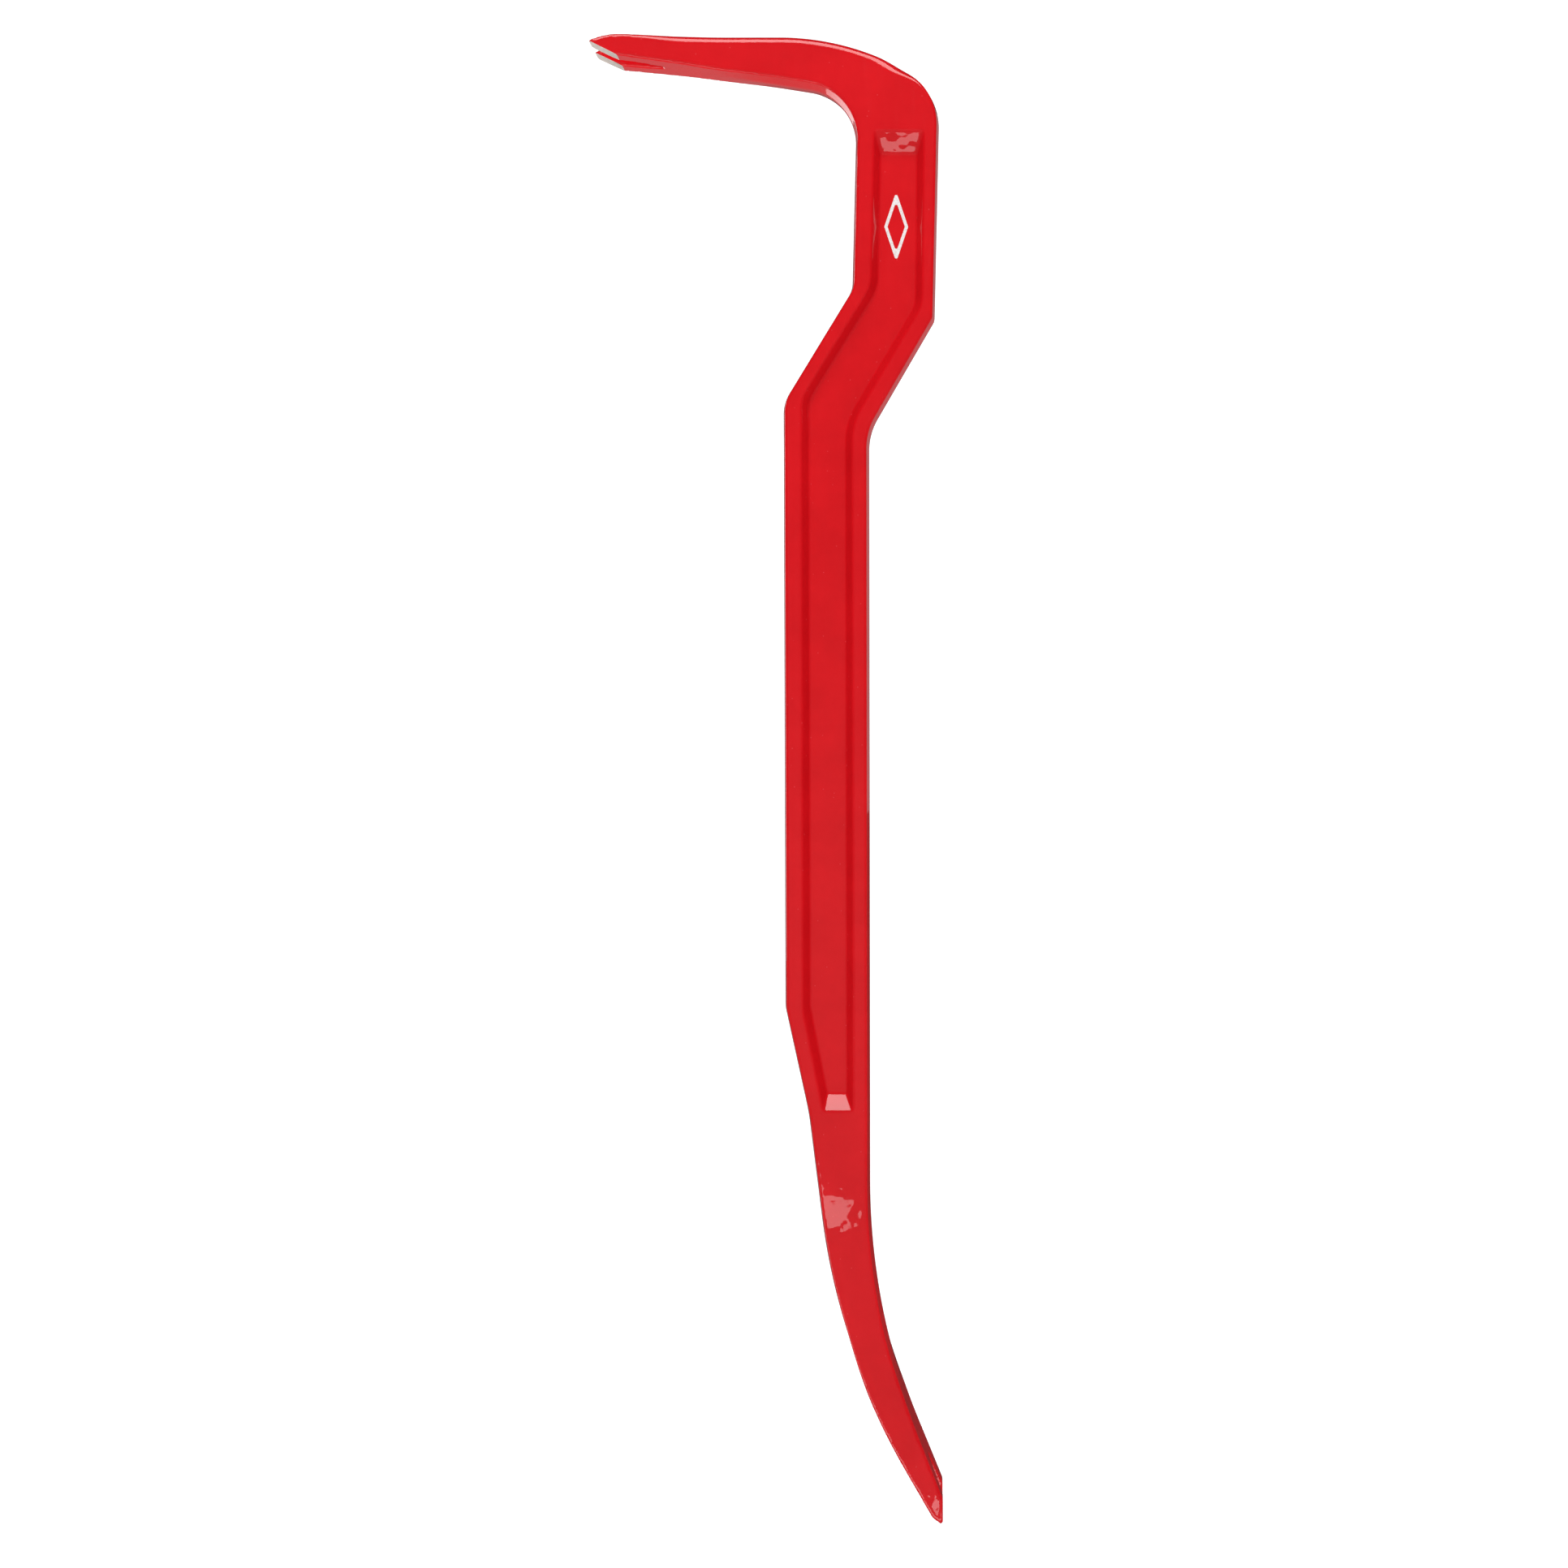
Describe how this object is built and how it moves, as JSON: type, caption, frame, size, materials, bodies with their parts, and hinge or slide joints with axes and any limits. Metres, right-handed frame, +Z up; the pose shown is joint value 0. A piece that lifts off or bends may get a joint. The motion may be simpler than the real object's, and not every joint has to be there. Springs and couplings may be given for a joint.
{
  "type": "gooseneck pry bar",
  "caption": "Forged steel pry bar with a hooked nail-pulling claw, an I-beam shaft, an offset bend and a flared, notched chisel end, in gloss red enamel.",
  "frame": {"origin": "the seat under the hook, where a peg or rail holds the bar up: on the forging's parting plane, on the hook's underside just ahead of its inner bend", "axes": "+Z up along the shaft, with the chisel at the bottom; the hook reaches towards -X and the chisel's curve towards +X; Y across the bar's width, with the parting plane at Y = 0"},
  "size_m": [0.141, 0.026, 0.6028],
  "materials": {
    "ground_steel": "ground",
    "red_enamel": "gloss enamel",
    "white_print": "printed ink"
  },
  "bodies": {
    "root": {"forged_bar": "ground_steel", "enamel_coat": "red_enamel", "printed_mark": "white_print"}
  },
  "joints": []
}
